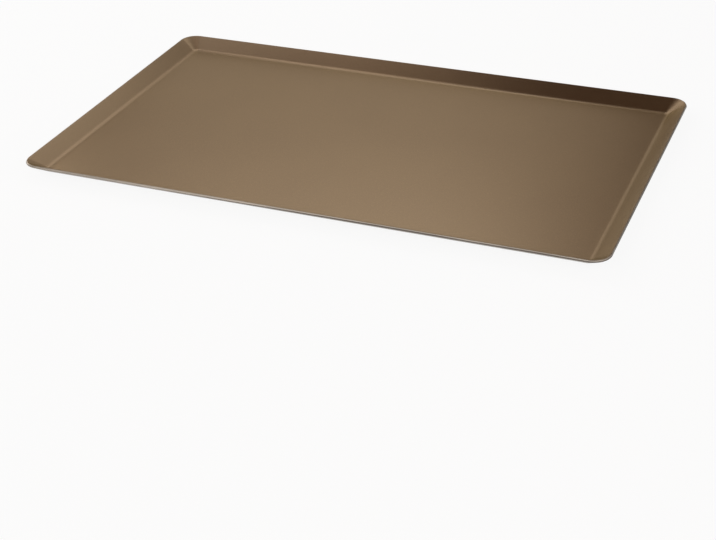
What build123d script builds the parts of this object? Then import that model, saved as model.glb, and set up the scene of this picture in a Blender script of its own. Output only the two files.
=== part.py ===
from build123d import *
import os
from math import cos, radians, sin, tan

os.makedirs("parts", exist_ok=True)

# A flat baking sheet, pressed from one coated metal blank, with a low flange that leans outward on all four sides.
# Millimetres. The origin is the centre of the underside: +X runs along the long side, +Y along the short side, +Z up.

# Overall sizes, over the smoothed cut edge of the flanges
overall_length = 530.0
overall_width = 325.0
overall_height = 12.0

# The blank and its two coats
sheet_gauge = 2.0
lining_thickness = 0.06
outer_coat_thickness = 0.04

# The pressing
flange_angle = 33.0  # degrees above the floor
fold_radius = 8.0  # inside the fold between floor and flange
floor_corner_radius = 4.0  # seen from above, where the folds meet
rim_corner_radius = 15.0  # seen from above, at the top of the flange

# The bare cut edge: both of its corners are smoothed, and the coats stop short of it
edge_rounding = 0.45
bare_margin = 0.6

# Depths below the inside surface, measured square to it
top_of_lining = 0.0
top_of_sheet = lining_thickness
bottom_of_sheet = lining_thickness + sheet_gauge
bottom_of_coat = bottom_of_sheet + outer_coat_thickness

flange_sine = sin(radians(flange_angle))
flange_cosine = cos(radians(flange_angle))
flange_slope = tan(radians(flange_angle))
fold_spread = tan(radians(flange_angle / 2))

# Smoothing a square corner of the cut edge takes this much off the length and the height
corner_loss = edge_rounding * (flange_cosine + flange_sine - 1)

# The inside surface, from the fold up to the sharp corner that it would have at the cut edge
rim_height = overall_height + corner_loss + top_of_sheet * flange_cosine
rim_margin = bottom_of_sheet * flange_sine - corner_loss
flange_rise = rim_height - bottom_of_coat
flange_run = flange_rise / flange_slope
coated_share = 1 - bare_margin * flange_sine / flange_rise


def between(at_fold, at_rim, share):
    """Value at this share of the way from the fold, 0, up to the cut edge, 1."""
    return at_fold + share * (at_rim - at_fold)


def outline(depth, share):
    """Rounded rectangle that the surface at this depth follows, at this share of the way up the flange."""
    height = between(bottom_of_coat - depth, rim_height - depth * flange_cosine, share)
    margin = between(rim_margin + flange_run - depth * fold_spread, rim_margin - depth * flange_sine, share)
    corner = between(
        floor_corner_radius + depth * fold_spread, rim_corner_radius + depth * flange_sine, share
    )
    with BuildSketch(Plane.XY.offset(height)) as rounded:
        RectangleRounded(overall_length - 2 * margin, overall_width - 2 * margin, corner)
    return rounded.sketch


def filled_pan(depth, share):
    """Solid that fills the pan level, above the surface at this depth, up to this share of its flange."""
    with BuildPart() as pan:
        loft([outline(depth, 0), outline(depth, share)], ruled=True)
        fillet(pan.faces().sort_by(Axis.Z)[0].edges(), fold_radius + depth)
    return pan.part


def layer(upper, lower, share):
    """One layer of the laminate between two depths, cut square to the flange at this share of it."""
    with BuildPart() as laminate:
        add(filled_pan(lower, share))
        loft([outline(lower, share), outline(upper, share)], ruled=True)
        add(filled_pan(upper, share), mode=Mode.SUBTRACT)
    return laminate.part


# The pressed metal blank, bare at its cut edge
with BuildPart() as pressed_sheet:
    add(layer(top_of_sheet, bottom_of_sheet, 1))
    level_edges = pressed_sheet.edges().filter_by(Plane.XY).group_by(Axis.Z)
    fillet(level_edges[-1] + level_edges[-2], edge_rounding)
pressed_sheet.part.label = "pressed_sheet"
export_step(pressed_sheet.part, "parts/pressed_sheet.step")

# The non-stick coat baked on the inside
with BuildPart() as nonstick_lining:
    add(layer(top_of_lining, top_of_sheet, coated_share))
nonstick_lining.part.label = "nonstick_lining"
export_step(nonstick_lining.part, "parts/nonstick_lining.step")

# The heat-proof coat on the underside
with BuildPart() as outer_coat:
    add(layer(bottom_of_sheet, bottom_of_coat, coated_share))
outer_coat.part.label = "outer_coat"
export_step(outer_coat.part, "parts/outer_coat.step")
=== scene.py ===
from math import cos, pi, radians, sin, tan

import bpy
from mathutils import Euler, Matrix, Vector


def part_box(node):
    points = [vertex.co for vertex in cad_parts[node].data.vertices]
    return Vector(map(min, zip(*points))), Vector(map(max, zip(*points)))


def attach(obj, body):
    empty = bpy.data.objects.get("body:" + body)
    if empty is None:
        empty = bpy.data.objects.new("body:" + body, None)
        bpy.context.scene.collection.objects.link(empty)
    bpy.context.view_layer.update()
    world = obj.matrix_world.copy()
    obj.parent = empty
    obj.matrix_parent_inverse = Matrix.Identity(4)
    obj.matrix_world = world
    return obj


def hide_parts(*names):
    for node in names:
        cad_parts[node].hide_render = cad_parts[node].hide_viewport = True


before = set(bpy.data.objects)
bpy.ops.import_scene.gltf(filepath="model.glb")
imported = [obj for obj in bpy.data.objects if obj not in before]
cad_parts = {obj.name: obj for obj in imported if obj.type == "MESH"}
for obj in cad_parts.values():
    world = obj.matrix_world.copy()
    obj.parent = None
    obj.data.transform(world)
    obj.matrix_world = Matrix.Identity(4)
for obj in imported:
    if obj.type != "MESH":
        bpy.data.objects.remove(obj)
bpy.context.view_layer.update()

# Sizes of the pressed sheet and its coats, in metres, as the CAD part has them
MM = 0.001
LINING_THICKNESS = 0.06 * MM
SHEET_GAUGE = 2.0 * MM
OUTER_COAT_THICKNESS = 0.04 * MM
FLANGE_ANGLE = radians(33.0)
FOLD_RADIUS = 8.0 * MM
FLOOR_CORNER_RADIUS = 4.0 * MM
RIM_CORNER_RADIUS = 15.0 * MM
EDGE_ROUNDING = 0.45 * MM
BARE_MARGIN = 0.6 * MM

# Depths below the inside surface
TOP_OF_LINING = 0.0
TOP_OF_SHEET = LINING_THICKNESS
BOTTOM_OF_SHEET = TOP_OF_SHEET + SHEET_GAUGE
BOTTOM_OF_COAT = BOTTOM_OF_SHEET + OUTER_COAT_THICKNESS

# Overall size, read from the frame
sheet_low, sheet_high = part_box("pressed_sheet")
LENGTH = sheet_high.x - sheet_low.x
WIDTH = sheet_high.y - sheet_low.y
HEIGHT = 12.0 * MM

# The inside surface, from the fold up to the sharp corner that it would have at the cut edge
CORNER_LOSS = EDGE_ROUNDING * (cos(FLANGE_ANGLE) + sin(FLANGE_ANGLE) - 1)
RIM_HEIGHT = HEIGHT + CORNER_LOSS + TOP_OF_SHEET * cos(FLANGE_ANGLE)
RIM_MARGIN = BOTTOM_OF_SHEET * sin(FLANGE_ANGLE) - CORNER_LOSS
FLANGE_RISE = RIM_HEIGHT - BOTTOM_OF_COAT
FLANGE_RUN = FLANGE_RISE / tan(FLANGE_ANGLE)

# How finely the meshes are divided
LONG_CELLS = 52
SHORT_CELLS = 30
CORNER_STEPS = 20
FOLD_STEPS = 10
FLANGE_STEPS = 6
ROUNDING_STEPS = 6
GUARD_SHARE = 0.2
SHARP_ANGLE = radians(40.0)
EDGE_MAP = "edge_run"


def stations():
    """Places around a rounded rectangle, anticlockwise from its front left: a corner centre or a share of the
    straight side between two of them, as shares of the half size, and the direction outward from there."""
    corners = [(-1, -1), (1, -1), (1, 1), (-1, 1)]
    placed = []
    for side in range(4):
        start, end = corners[side], corners[(side + 1) % 4]
        facing = side * pi / 2 - pi / 2
        cells = SHORT_CELLS if side % 2 else LONG_CELLS
        for step in range(cells + 1):
            share = step / cells
            placed.append((
                start[0] + share * (end[0] - start[0]),
                start[1] + share * (end[1] - start[1]),
                cos(facing),
                sin(facing),
            ))
        for step in range(1, CORNER_STEPS):
            turned = facing + step / CORNER_STEPS * pi / 2
            placed.append((end[0], end[1], cos(turned), sin(turned)))
    return placed


STATIONS = stations()


def between(at_fold, at_rim, share):
    """Value at this share of the way from the fold, 0, up to the cut edge, 1."""
    return at_fold + share * (at_rim - at_fold)


def floor_height(depth):
    return BOTTOM_OF_COAT - depth


def rise(depth):
    """Height of the flange at this depth, from the fold's sharp line to the cut."""
    return RIM_HEIGHT - depth * cos(FLANGE_ANGLE) - floor_height(depth)


def outline(depth, share):
    """Half length, half width and corner radius of the surface at this depth, at this share of the flange."""
    fold_spread = depth * tan(FLANGE_ANGLE / 2)
    rim_spread = depth * sin(FLANGE_ANGLE)
    margin = between(RIM_MARGIN + FLANGE_RUN - fold_spread, RIM_MARGIN - rim_spread, share)
    corner = between(FLOOR_CORNER_RADIUS + fold_spread, RIM_CORNER_RADIUS + rim_spread, share)
    return LENGTH / 2 - margin, WIDTH / 2 - margin, corner


def flange_point(depth, share):
    return depth, share, floor_height(depth) + share * rise(depth)


def fold_profile(depth):
    """The bend at this depth, from the flat floor to the flat flange."""
    radius = FOLD_RADIUS + depth
    run = rise(depth) / tan(FLANGE_ANGLE)
    tangent = radius * tan(FLANGE_ANGLE / 2)
    points = []
    for step in range(FOLD_STEPS + 1):
        turn = FLANGE_ANGLE * step / FOLD_STEPS
        share = (radius * sin(turn) - tangent) / run
        points.append((depth, share, floor_height(depth) + radius * (1 - cos(turn))))
    return points


def flange_profile(depth, last_share):
    """One surface from its floor to this share of its flange, with a ring close beside the bend."""
    bend = fold_profile(depth)
    first_share = bend[-1][1]
    shares = [
        first_share + (last_share - first_share) * step / FLANGE_STEPS for step in range(1, FLANGE_STEPS + 1)
    ]
    guard = first_share + (shares[0] - first_share) * GUARD_SHARE
    return bend + [flange_point(depth, share) for share in [guard] + shares]


def profile_run(profile, start):
    """Distance of each profile point along the surface from the point with this index."""
    def cross_section(point):
        half_length, _, _ = outline(point[0], point[1])
        return Vector((half_length, point[2]))

    places = [cross_section(point) for point in profile]
    run = [0.0]
    for before, after in zip(places, places[1:]):
        run.append(run[-1] + (after - before).length)
    return [place - run[start] for place in run]


def perimeter_run():
    """Distance around the rim at each station, and once more at the end."""
    half_length, half_width, corner = outline(0.0, 1.0)
    points = [
        Vector((tx * (half_length - corner) + corner * nx, ty * (half_width - corner) + corner * ny))
        for tx, ty, nx, ny in STATIONS
    ]
    run = [0.0]
    for before, after in zip(points, points[1:] + points[:1]):
        run.append(run[-1] + (after - before).length)
    return run


AROUND = perimeter_run()


def shell(name, profile, edge_start):
    """Closed mesh of the rings of a profile, which starts on one floor surface and ends on the other.

    Its UV map holds metres around the rim, and metres across the surface from profile point edge_start."""
    vertices = []
    faces = []
    uvs = []
    across = profile_run(profile, edge_start)

    def ring(depth, share, height):
        half_length, half_width, corner = outline(depth, share)
        first = len(vertices)
        for tx, ty, nx, ny in STATIONS:
            x = tx * (half_length - corner) + corner * nx
            y = ty * (half_width - corner) + corner * ny
            vertices.append((x, y, height))
        return [first + index for index in range(len(STATIONS))]

    def join(inner, outer, inner_across, outer_across):
        count = len(STATIONS)
        for index in range(count):
            after = (index + 1) % count
            corners = [
                (inner[index], (AROUND[index], inner_across)),
                (outer[index], (AROUND[index], outer_across)),
                (outer[after], (AROUND[index + 1], outer_across)),
                (inner[after], (AROUND[index + 1], inner_across)),
            ]
            befores = corners[-1:] + corners[:-1]
            kept = [corner for corner, before in zip(corners, befores) if corner[0] != before[0]]
            faces.append([vertex for vertex, _ in kept])
            uvs.extend(uv for _, uv in kept)

    def floor_grid(depth, share, height):
        """Grid inside the corner centres; gives the grid's vertex behind each station, and its faces."""
        half_length, half_width, corner = outline(depth, share)
        first = len(vertices)
        for row in range(SHORT_CELLS + 1):
            for column in range(LONG_CELLS + 1):
                x = (2 * column / LONG_CELLS - 1) * (half_length - corner)
                y = (2 * row / SHORT_CELLS - 1) * (half_width - corner)
                vertices.append((x, y, height))

        def at(column, row):
            return first + row * (LONG_CELLS + 1) + column

        behind = [
            at(round((tx + 1) / 2 * LONG_CELLS), round((ty + 1) / 2 * SHORT_CELLS))
            for tx, ty, _, _ in STATIONS
        ]
        cells = [
            [at(column, row), at(column + 1, row), at(column + 1, row + 1), at(column, row + 1)]
            for row in range(SHORT_CELLS)
            for column in range(LONG_CELLS)
        ]
        return behind, cells

    def add_floor(cells, place):
        faces.extend(cells)
        uvs.extend((vertices[vertex][0], place) for cell in cells for vertex in cell)

    behind, cells = floor_grid(*profile[0])
    add_floor(cells, across[0])
    rings = [ring(*point) for point in profile]
    join(behind, rings[0], across[0], across[0])
    for index in range(len(rings) - 1):
        join(rings[index], rings[index + 1], across[index], across[index + 1])
    behind, cells = floor_grid(*profile[-1])
    add_floor([cell[::-1] for cell in cells], across[-1])
    join(rings[-1], behind, across[-1], across[-1])

    mesh = bpy.data.meshes.new(name)
    mesh.from_pydata(vertices, [], faces)
    layer = mesh.uv_layers.new(name=EDGE_MAP)
    for corner, uv in zip(layer.uv, uvs):
        corner.vector = uv
    mesh.shade_smooth()
    mesh.set_sharp_from_angle(angle=SHARP_ANGLE)
    mesh.update()
    piece = bpy.data.objects.new(name, mesh)
    bpy.context.scene.collection.objects.link(piece)
    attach(piece, "root")
    return piece


def rounded_cut(upper, lower):
    """The cut face between two depths, with both of its corners rounded."""
    def cut_point(depth, setback):
        return flange_point(depth, 1 - setback * sin(FLANGE_ANGLE) / rise(depth))

    points = []
    for step in range(ROUNDING_STEPS + 1):
        turn = pi / 2 * step / ROUNDING_STEPS
        points.append(cut_point(
            upper + EDGE_ROUNDING * (1 - cos(turn)), EDGE_ROUNDING * (1 - sin(turn))
        ))
    points.append(cut_point((upper + lower) / 2, 0.0))
    for step in range(ROUNDING_STEPS + 1):
        turn = pi / 2 * step / ROUNDING_STEPS
        points.append(cut_point(
            lower - EDGE_ROUNDING * (1 - sin(turn)), EDGE_ROUNDING * (1 - cos(turn))
        ))
    return points


def coated_share(depth):
    return 1 - BARE_MARGIN * sin(FLANGE_ANGLE) / rise(depth)


def make_sheet():
    rounded = rounded_cut(TOP_OF_SHEET, BOTTOM_OF_SHEET)
    upper = flange_profile(TOP_OF_SHEET, rounded[0][1])
    lower = flange_profile(BOTTOM_OF_SHEET, rounded[-1][1])
    return shell("metal_sheet", upper + rounded[1:-1] + lower[::-1], len(upper) - 1)


def make_coat(name, upper, lower, slot):
    above = flange_profile(upper, coated_share(upper))
    below = flange_profile(lower, coated_share(lower))
    edge_start = len(above) - 1 if slot == "nonstick_coat" else len(above)
    return shell(name, above + below[::-1], edge_start)


# Camera, at the photograph's viewing angle
CAMERA_PLACE = Vector((0.4689, -1.1534, 0.5975))
CAMERA_AIM = Vector((0.0818, -0.2219, 0.0038))
CAMERA_ROLL = radians(-1.63)
CAMERA_LENS = 75.45
CAMERA_SENSOR = 36.0
CAMERA_NEAR = 0.01
CAMERA_FAR = 100.0


def make_camera():
    lens = bpy.data.cameras.new("camera")
    lens.sensor_width = CAMERA_SENSOR
    lens.lens = CAMERA_LENS
    lens.clip_start = CAMERA_NEAR
    lens.clip_end = CAMERA_FAR
    camera = bpy.data.objects.new("camera", lens)
    bpy.context.scene.collection.objects.link(camera)
    looking = (CAMERA_AIM - CAMERA_PLACE).to_track_quat("-Z", "Y").to_matrix()
    camera.matrix_world = (looking @ Euler((0, 0, CAMERA_ROLL)).to_matrix()).to_4x4()
    camera.location = CAMERA_PLACE
    bpy.context.scene.camera = camera


# Noise values lie mostly within the middle span, and nearly all within the wide one
MIDDLE_SPAN = (0.3, 0.7)
WIDE_SPAN = (0.2, 0.8)

# The non-stick coat: cloudy bronze with a fine fleck, rubbed lighter close to its edge
LINING_COLOUR_LOW = (0.250, 0.174, 0.109)
LINING_COLOUR_HIGH = (0.263, 0.184, 0.114)
LINING_FLAKE = (0.334, 0.233, 0.145)
LINING_EDGE_TINT = (1.00, 1.00, 0.86)
LINING_ROUGHNESS = 0.33
LINING_CLOUD_GLOSS = 0.012
LINING_FLAKE_GLOSS = 0.03
LINING_CLOUD_SCALE = 9.0
LINING_FLAKE_SCALE = 2600.0
LINING_FLAKE_SPAN = (0.52, 0.74)
LINING_FLAKE_HEIGHT = 0.004 * MM
LINING_PEEL_SCALE = 380.0
LINING_PEEL_HEIGHT = 0.016 * MM
LINING_RUB_SCALE = 700.0
LINING_RUB_SPAN = (0.46, 0.68)
WORN_METAL = (0.46, 0.41, 0.34)
RIM_WEAR_WIDTH = 1.6 * MM
RIM_WEAR_SHARE = 0.25

# The outer coat: duller brown with a fine grain, scuffed, and rubbed through in places at its edge
OUTER_COLOUR = (0.165, 0.122, 0.082)
OUTER_COLOUR_HIGH = (0.185, 0.138, 0.093)
OUTER_METALLIC = 0.85
OUTER_ROUGHNESS = (0.36, 0.43)
OUTER_GRAIN_GLOSS = 0.03
OUTER_CLOUD_SCALE = 7.0
OUTER_PEEL_SCALE = 300.0
OUTER_PEEL_HEIGHT = 0.02 * MM
OUTER_GRAIN_SCALE = 2400.0
OUTER_GRAIN_HEIGHT = 0.003 * MM
OUTER_RUB_SCALE = 90.0
OUTER_RUB_SPAN = (0.40, 0.62)
OUTER_WEAR_SPAN = (0.45, 0.60)
OUTER_WEAR_SHARE = 0.5

# The cut edge: how far down the burnished band reaches, as shares of the cut, and the places along X between
# which it grows by the gain, until it takes the whole cut
BURNISHED_LIGHT = (0.39, 0.345, 0.295)
BURNISHED_DARK = (0.27, 0.24, 0.205)
# The torn band's colours are darker partly for torn metal and partly as painted shade on the lower part of
# the cut
SHADED_TORN_LIGHT = (0.20, 0.175, 0.15)
SHADED_TORN_DARK = (0.12, 0.105, 0.09)
CUT_WIDTH = (SHEET_GAUGE - 2 * EDGE_ROUNDING) + pi * EDGE_ROUNDING
BURNISH_LOW = 0.42
BURNISH_HIGH = 0.60
BURNISH_GAIN = 0.6
BURNISH_GROWTH_FROM = 20 * MM
BURNISH_GROWTH_TO = -200 * MM
WANDER_SCALE = 7.0
WANDER_SPAN = (0.35, 0.65)
STREAK_SCALE = 2600.0
STREAK_STRETCH = 0.06
STREAK_HEIGHT = 0.006 * MM
STREAK_GLOSS = 0.05
RUBBED_SCALE = 11.0
RUBBED_SPAN = (0.35, 0.65)
GRAIN_SCALE = 5200.0
GRAIN_HEIGHT = 0.012 * MM
TORN_BLUR = 0.12 * MM
BURNISHED_ROUGHNESS = 0.34
TORN_ROUGHNESS = 0.58

# The coats fade out beside the cut, the upper one over this distance from its edge, give or take the drift
OVERSPRAY_START = 0.05 * MM
OVERSPRAY_END = 0.45 * MM
OVERSPRAY_DRIFT = 0.08 * MM
LOWER_OVERSPRAY = (-0.10 * MM, 0.15 * MM)

# The studio. Each soft box: azimuth from the back toward the left and elevation, in degrees, then distance,
# width and height in metres, its radiance and its tint. The first ones are mirrored in the coat at the
# photograph's angle, and the last five light the front and the sides.
SOFT_BOXES = {
    "back_soft_box": (21.1, 26.0, 2.31, 1.32, 1.65, 0.52, (1.03, 1.0, 0.96)),
    "back_right_soft_box": (-9.8, 51.9, 2.59, 0.51, 1.99, 0.90, (0.95, 1.0, 0.96)),
    "left_soft_box": (44.9, 48.9, 1.00, 1.17, 0.30, 1.16, (0.95, 1.0, 1.05)),
    "far_left_soft_box": (49.8, 57.7, 0.96, 0.35, 0.31, 0.48, (1.05, 1.0, 0.95)),
    "low_left_soft_box": (69.1, 18.1, 2.59, 2.39, 1.23, 2.54, (1.05, 1.0, 0.95)),
    "middle_soft_box": (28.1, 34.0, 2.06, 0.79, 0.33, 0.64, (0.95, 1.0, 1.05)),
    "near_left_soft_box": (54.2, 61.4, 0.92, 0.36, 0.37, 0.25, (1.03, 1.0, 0.97)),
    "front_left_soft_box": (160.0, 34.0, 2.4, 1.6, 1.6, 1.8, (1.0, 1.0, 1.0)),
    "front_right_soft_box": (-140.0, 32.0, 2.4, 2.2, 1.6, 1.3, (1.0, 1.0, 1.0)),
    "right_soft_box": (-95.0, 27.0, 2.4, 1.6, 1.6, 0.95, (1.0, 1.0, 1.0)),
    "left_side_soft_box": (112.0, 27.0, 2.4, 1.6, 1.6, 0.95, (1.0, 1.0, 1.0)),
    "right_side_soft_box": (-60.0, 27.0, 2.4, 1.2, 1.4, 0.9, (1.0, 1.0, 1.0)),
}

# The world is white at the horizon and fades to a dim ceiling, between these elevations in degrees
BACKDROP_TOP = 0.0
CEILING_START = 4.1
CEILING_COLOUR = (0.068, 0.024, 0.001)

# The floor: share of plain white under the object, and the distances over which it grows to 1
FLOOR_COLOUR = (0.9, 0.9, 0.9)
FLOOR_WHITENESS = 0.91
PAPER_FADE_FROM = 0.45
PAPER_FADE_TO = 1.6
FLOOR_REACH = 12.0
FLOOR_GAP = 0.2 * MM


class Graph:
    """Short way to write nodes: each call adds one, with its settings and what feeds it."""

    def __init__(self, owner):
        owner.use_nodes = True
        self.owner = owner
        self.tree = owner.node_tree
        self.tree.nodes.clear()

    def add(self, kind, settings=None, **inputs):
        """Add a node. An input is named, with _ for a space, or is given by its number, as i0."""
        node = self.tree.nodes.new("ShaderNode" + kind)
        for key, value in (settings or {}).items():
            setattr(node, key, value)
        for key, value in inputs.items():
            place = int(key[1:]) if key[0] == "i" and key[1:].isdigit() else key.replace("_", " ")
            socket = node.inputs[place]
            if isinstance(value, bpy.types.NodeSocket):
                self.tree.links.new(value, socket)
            elif isinstance(value, tuple) and len(value) == 3 and socket.type == "RGBA":
                socket.default_value = (*value, 1.0)
            else:
                socket.default_value = value
        return node

    def math(self, operation, first, second):
        return self.add("Math", {"operation": operation}, i0=first, i1=second).outputs[0]

    def noise(self, vector, scale, detail=2.0, roughness=0.5):
        node = self.add("TexNoise", None, Vector=vector, Scale=scale, Detail=detail, Roughness=roughness)
        return node.outputs[0]

    def along(self, first, second=0.0):
        """Place made of one or two distances, for noise that runs along an edge."""
        return self.add("CombineXYZ", None, X=first, Y=second).outputs[0]

    def ramp(self, value, low, high, at_low=0.0, at_high=1.0):
        """Smooth step from one value to another while the input goes from low to high."""
        ends = {"From_Min": low, "From_Max": high, "To_Min": at_low, "To_Max": at_high}
        return self.add("MapRange", {"interpolation_type": "SMOOTHSTEP"}, Value=value, **ends).outputs[0]

    def blend(self, share, first, second):
        """Colour between two, by a share from 0 to 1."""
        return self.add("Mix", {"data_type": "RGBA"}, i0=share, i6=first, i7=second).outputs[2]

    def mix_shader(self, share, first, second):
        return self.add("MixShader", None, i0=share, i1=first.outputs[0], i2=second.outputs[0])

    def place(self):
        """Place on the object, in metres."""
        return self.add("TexCoord").outputs["Object"]

    def edge_run(self):
        """Metres around the rim, and metres across the surface from its edge."""
        split = self.add("SeparateXYZ", None, Vector=self.add("UVMap", {"uv_map": EDGE_MAP}).outputs[0])
        return split.outputs[0], split.outputs[1]

    def bump(self, height, distance, normal=None):
        inputs = {"Height": height, "Distance": distance}
        if normal is not None:
            inputs["Normal"] = normal
        return self.add("Bump", None, **inputs).outputs[0]

    def finish(self, shader, kind="OutputMaterial"):
        self.add(kind, None, Surface=shader.outputs[0])
        return self.owner


def lining_material():
    graph = Graph(bpy.data.materials.new("nonstick_bronze"))
    place = graph.place()
    _, across = graph.edge_run()
    cloud = graph.noise(place, LINING_CLOUD_SCALE, 3.0)
    flake = graph.noise(place, LINING_FLAKE_SCALE, 1.0)
    peel = graph.noise(place, LINING_PEEL_SCALE, 2.0)
    rub = graph.noise(place, LINING_RUB_SCALE, 3.0, 0.65)
    near_edge = graph.ramp(across, -RIM_WEAR_WIDTH, 0.0)
    wear = graph.math("MULTIPLY", near_edge, graph.ramp(rub, *LINING_RUB_SPAN))
    tone = graph.blend(graph.ramp(cloud, *MIDDLE_SPAN), LINING_COLOUR_LOW, LINING_COLOUR_HIGH)
    fleck = graph.blend(graph.ramp(flake, *LINING_FLAKE_SPAN), tone, LINING_FLAKE)
    mixed = graph.blend(graph.math("MULTIPLY", wear, RIM_WEAR_SHARE), fleck, WORN_METAL)
    cloudy = graph.ramp(
        cloud, *MIDDLE_SPAN, LINING_ROUGHNESS - LINING_CLOUD_GLOSS, LINING_ROUGHNESS + LINING_CLOUD_GLOSS
    )
    flaky = graph.ramp(flake, *WIDE_SPAN, -LINING_FLAKE_GLOSS, LINING_FLAKE_GLOSS)
    rough = graph.math("ADD", cloudy, flaky)
    normal = graph.bump(peel, LINING_PEEL_HEIGHT, graph.bump(flake, LINING_FLAKE_HEIGHT))
    shader = graph.add("BsdfPrincipled", None, Base_Color=mixed, Metallic=1.0, Roughness=rough,
                       Specular_Tint=LINING_EDGE_TINT, Normal=normal)
    return graph.finish(shader)


def burnished_reach(graph, around, place):
    """Distance from the upper coat down to which the cut is burnished. It wanders around the rim. Toward the
    left end the burnished band grows until it takes the whole cut, so the torn band and its painted shade are
    gone there."""
    wander = graph.noise(graph.along(around), WANDER_SCALE, 4.0, 0.6)
    length = graph.add("SeparateXYZ", None, Vector=place).outputs[0]
    left_growth = graph.ramp(length, BURNISH_GROWTH_FROM, BURNISH_GROWTH_TO, 0.0, CUT_WIDTH * BURNISH_GAIN)
    usual = graph.ramp(wander, *WANDER_SPAN, CUT_WIDTH * BURNISH_LOW, CUT_WIDTH * BURNISH_HIGH)
    return graph.math("ADD", usual, left_growth)


def metal_material():
    """Sheared edge: a burnished band above, a rough torn band below whose darker colour is partly torn metal
    and partly painted shade, and the coats fading out beside them.
    """
    graph = Graph(bpy.data.materials.new("bare_aluminium"))
    place = graph.place()
    around, across = graph.edge_run()
    below = graph.math("SUBTRACT", across, burnished_reach(graph, around, place))
    torn_shaded_band = graph.ramp(below, -TORN_BLUR, TORN_BLUR)
    stretched = graph.along(around, graph.math("MULTIPLY", across, STREAK_STRETCH))
    streaks = graph.noise(stretched, STREAK_SCALE, 3.0, 0.6)
    grain = graph.noise(place, GRAIN_SCALE, 2.0)
    rubbed = graph.noise(graph.along(around, 1.0), RUBBED_SCALE, 2.0)
    shine = graph.math(
        "ADD", graph.ramp(streaks, *MIDDLE_SPAN, 0.0, 0.5), graph.ramp(rubbed, *RUBBED_SPAN, 0.0, 0.5)
    )
    bright = graph.blend(shine, BURNISHED_DARK, BURNISHED_LIGHT)
    # The torn band below is darker, partly for torn metal and partly as painted shade on the lower part of
    # the cut
    dull_shaded = graph.blend(graph.ramp(grain, *MIDDLE_SPAN), SHADED_TORN_DARK, SHADED_TORN_LIGHT)
    cut = graph.blend(torn_shaded_band, bright, dull_shaded)
    drift = graph.ramp(streaks, *WIDE_SPAN, -OVERSPRAY_DRIFT, OVERSPRAY_DRIFT)
    overspray = graph.ramp(graph.math("ADD", across, drift), OVERSPRAY_START, OVERSPRAY_END)
    upper = graph.blend(overspray, LINING_COLOUR_LOW, cut)
    from_lower_coat = graph.math("SUBTRACT", CUT_WIDTH, across)
    colour = graph.blend(graph.ramp(from_lower_coat, *LOWER_OVERSPRAY), OUTER_COLOUR, upper)
    banded = graph.ramp(below, -TORN_BLUR, TORN_BLUR, BURNISHED_ROUGHNESS, TORN_ROUGHNESS)
    rough = graph.math("ADD", banded, graph.ramp(streaks, *WIDE_SPAN, -STREAK_GLOSS, STREAK_GLOSS))
    pitted = graph.bump(graph.math("MULTIPLY", grain, torn_shaded_band), GRAIN_HEIGHT)
    normal = graph.bump(streaks, STREAK_HEIGHT, pitted)
    shader = graph.add("BsdfPrincipled", None, Base_Color=colour, Metallic=1.0, Roughness=rough,
                       Normal=normal)
    return graph.finish(shader)


def coat_material():
    graph = Graph(bpy.data.materials.new("outer_lacquer"))
    place = graph.place()
    _, across = graph.edge_run()
    cloud = graph.noise(place, OUTER_CLOUD_SCALE, 3.0)
    peel = graph.noise(place, OUTER_PEEL_SCALE, 2.0)
    grain = graph.noise(place, OUTER_GRAIN_SCALE, 1.0)
    rub = graph.noise(place, OUTER_RUB_SCALE, 5.0, 0.7)
    near_edge = graph.ramp(across, RIM_WEAR_WIDTH, 0.0)
    wear = graph.math("MULTIPLY", near_edge, graph.ramp(rub, *OUTER_WEAR_SPAN))
    tone = graph.blend(graph.ramp(cloud, *MIDDLE_SPAN), OUTER_COLOUR, OUTER_COLOUR_HIGH)
    colour = graph.blend(graph.math("MULTIPLY", wear, OUTER_WEAR_SHARE), tone, WORN_METAL)
    scuffed = graph.ramp(rub, *OUTER_RUB_SPAN, *OUTER_ROUGHNESS)
    rough = graph.math("ADD", scuffed, graph.ramp(grain, *WIDE_SPAN, -OUTER_GRAIN_GLOSS, OUTER_GRAIN_GLOSS))
    normal = graph.bump(peel, OUTER_PEEL_HEIGHT, graph.bump(grain, OUTER_GRAIN_HEIGHT))
    shader = graph.add("BsdfPrincipled", None, Base_Color=colour, Metallic=OUTER_METALLIC, Roughness=rough,
                       Normal=normal)
    return graph.finish(shader)


def seen_directly(graph):
    """1 where the camera, a reflection or a refraction looks at the surface, and 0 for other light."""
    path = graph.add("LightPath").outputs
    either = graph.math("MAXIMUM", path["Is Camera Ray"], path["Is Glossy Ray"])
    return graph.math("MAXIMUM", either, path["Is Transmission Ray"])


def floor_material():
    """Pale paper that looks white, and still shows part of the shadow that falls on it near the object.
    Farther out it fades to plain white, so that it meets the backdrop without a line."""
    graph = Graph(bpy.data.materials.new("studio_floor"))
    distance = graph.add("VectorMath", {"operation": "LENGTH"}, i0=graph.place()).outputs["Value"]
    whiteness = graph.ramp(distance, PAPER_FADE_FROM, PAPER_FADE_TO, FLOOR_WHITENESS, 1.0)
    share = graph.math("MULTIPLY", seen_directly(graph), whiteness)
    paper = graph.add("BsdfDiffuse", None, Color=FLOOR_COLOUR)
    return graph.finish(graph.mix_shader(share, paper, graph.add("Emission")))


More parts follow.
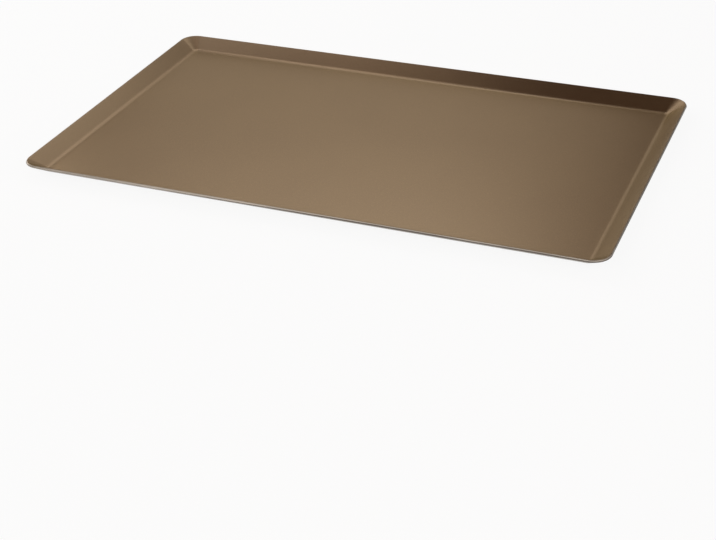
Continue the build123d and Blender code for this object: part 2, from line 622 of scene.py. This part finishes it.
def make_floor():
    mesh = bpy.data.meshes.new("studio_floor")
    reach = FLOOR_REACH
    corners = [(-reach, -reach, 0), (reach, -reach, 0), (reach, reach, 0), (-reach, reach, 0)]
    mesh.from_pydata(corners, [], [[0, 1, 2, 3]])
    floor = bpy.data.objects.new("studio_floor", mesh)
    floor.location.z = -FLOOR_GAP
    bpy.context.scene.collection.objects.link(floor)
    floor.data.materials.append(floor_material())


def toward(azimuth, elevation):
    """Direction at this many degrees from the back toward the left, and above the horizon."""
    around, above = radians(azimuth), radians(elevation)
    return Vector((-sin(around) * cos(above), cos(around) * cos(above), sin(above)))


def make_soft_box(name, azimuth, elevation, distance, width, height, radiance, colour):
    lamp = bpy.data.lights.new(name, "AREA")
    lamp.shape = "RECTANGLE"
    lamp.size = width
    lamp.size_y = height
    lamp.energy = radiance * pi * width * height
    lamp.color = colour
    box = bpy.data.objects.new(name, lamp)
    bpy.context.scene.collection.objects.link(box)
    direction = toward(azimuth, elevation)
    box.location = direction * distance
    box.rotation_euler = direction.to_track_quat("Z", "Y").to_euler()
    box.visible_camera = False


def make_world():
    """White backdrop, fading to a dim ceiling above the horizon. The camera sees only white."""
    world = bpy.data.worlds.new("studio")
    graph = Graph(world)
    place = graph.add("TexCoord").outputs["Generated"]
    height = graph.add("SeparateXYZ", None, Vector=place).outputs["Z"]
    fade = graph.ramp(height, sin(radians(BACKDROP_TOP)), sin(radians(CEILING_START)))
    backdrop = graph.add("Background", None, Color=(1.0, 1.0, 1.0))
    ceiling = graph.add("Background", None, Color=CEILING_COLOUR)
    studio = graph.mix_shader(fade, backdrop, ceiling)
    seen = graph.mix_shader(graph.add("LightPath").outputs["Is Camera Ray"], studio, backdrop)
    bpy.context.scene.world = graph.finish(seen, "OutputWorld")


bpy.context.scene.view_settings.view_transform = "Standard"
make_camera()
make_floor()
make_world()
for name, placing in SOFT_BOXES.items():
    make_soft_box(name, *placing)

lining = make_coat("nonstick_lining_skin", TOP_OF_LINING, TOP_OF_SHEET, "nonstick_coat")
lining.data.materials.append(lining_material())
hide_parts("nonstick_lining")

sheet = make_sheet()
sheet.data.materials.append(metal_material())
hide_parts("pressed_sheet")

outer = make_coat("outer_coat_skin", BOTTOM_OF_SHEET, BOTTOM_OF_COAT, "outer_finish")
outer.data.materials.append(coat_material())
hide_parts("outer_coat")
